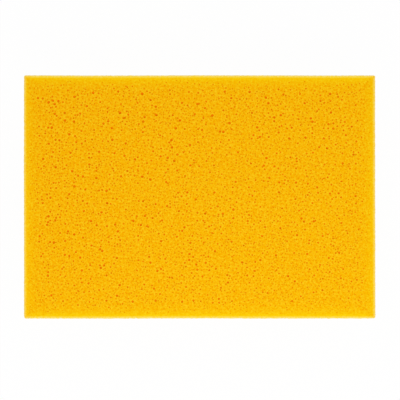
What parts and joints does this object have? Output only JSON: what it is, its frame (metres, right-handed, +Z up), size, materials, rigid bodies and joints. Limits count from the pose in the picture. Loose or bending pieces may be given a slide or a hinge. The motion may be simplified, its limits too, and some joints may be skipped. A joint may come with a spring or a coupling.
{
  "type": "cleaning sponge",
  "caption": "Rectangular cleaning sponge: a plain block of yellow open-cell foam with flat cut faces, for wetting, wiping and washing surfaces.",
  "frame": {"origin": "middle of the broad face that the sponge rests on", "axes": "+X along the length, +Y across the width, +Z up through the thickness, away from the surface it rests on"},
  "size_m": [0.13, 0.09, 0.04],
  "materials": {
    "foam": "matt, open-cell foam"
  },
  "bodies": {
    "root": {"foam_block": "foam"}
  },
  "joints": []
}
